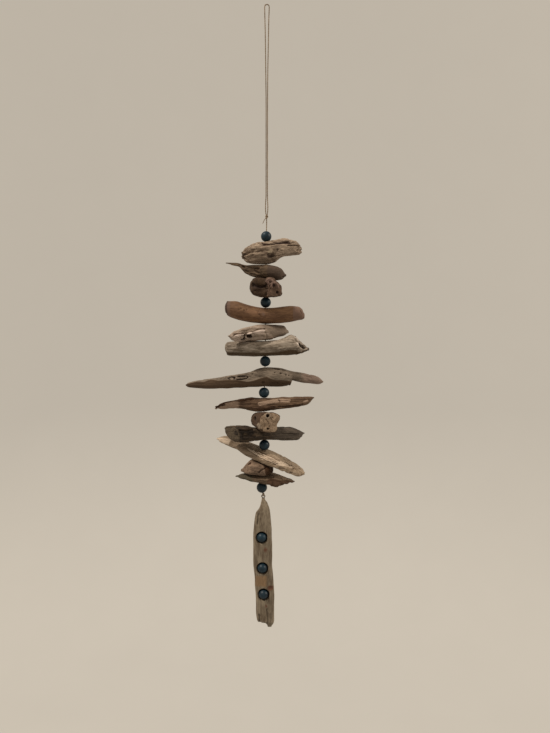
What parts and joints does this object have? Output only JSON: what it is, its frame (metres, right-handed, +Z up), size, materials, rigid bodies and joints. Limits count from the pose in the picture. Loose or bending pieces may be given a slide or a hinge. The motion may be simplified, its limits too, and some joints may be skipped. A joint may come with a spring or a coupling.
{
  "type": "hanging driftwood mobile",
  "caption": "Hanging mobile of weathered driftwood sticks and dark blue beads threaded on a hemp cord, with a beaded driftwood slat hanging from a screw eye below.",
  "frame": {"origin": "inside of the hanging loop at its very top, where a nail or hook carries the mobile", "axes": "+Z up along the cord, -Y towards the viewer, +X to the viewer's right"},
  "size_m": [0.1299, 0.0527, 0.5907],
  "materials": {
    "taupe_driftwood": "dry, grooved, weathered",
    "brown_driftwood": "dry, fibrous",
    "knotty_driftwood": "dry, pitted end grain",
    "peeled_driftwood": "smooth, satin, peeled of its bark",
    "grey_driftwood": "dry, silvered, with open grain",
    "tan_driftwood": "dry, with worm tracks",
    "bark_driftwood": "bark, rubbed, with a bare patch",
    "end_grain_driftwood": "bored end grain",
    "dark_driftwood": "dark, weathered",
    "bleached_driftwood": "bleached, worm-eaten",
    "pinkish_driftwood": "dry, cracked",
    "mossy_driftwood": "jagged bark, grey-green",
    "slat_driftwood": "flat, grey, upright grain",
    "blue_bead": "dark teal-blue satin lacquer",
    "hemp_cord": "twisted hemp twine",
    "aged_brass": "aged, dull"
  },
  "bodies": {
    "root": {"gnarled_root": "taupe_driftwood", "beaked_sliver": "brown_driftwood", "knotty_stub": "knotty_driftwood", "peeled_branch": "peeled_driftwood", "wormed_chunk": "grey_driftwood", "split_log": "grey_driftwood", "long_spindle": "tan_driftwood", "bark_blade": "bark_driftwood", "bored_end_grain_block": "end_grain_driftwood", "dark_stick": "dark_driftwood", "slanting_batten": "bleached_driftwood", "wedge_stub": "pinkish_driftwood", "jagged_bark": "mossy_driftwood", "pendant_slat": "slat_driftwood", "screw_eye": "aged_brass", "cord_bead_1": "blue_bead", "cord_bead_2": "blue_bead", "cord_bead_3": "blue_bead", "cord_bead_4": "blue_bead", "cord_bead_5": "blue_bead", "cord_bead_6": "blue_bead", "slat_bead_1": "blue_bead", "slat_bead_2": "blue_bead", "slat_bead_3": "blue_bead", "cord_threaded": "hemp_cord", "cord_loop": "hemp_cord", "cord_knot": "hemp_cord", "cord_tie": "hemp_cord"}
  },
  "joints": []
}
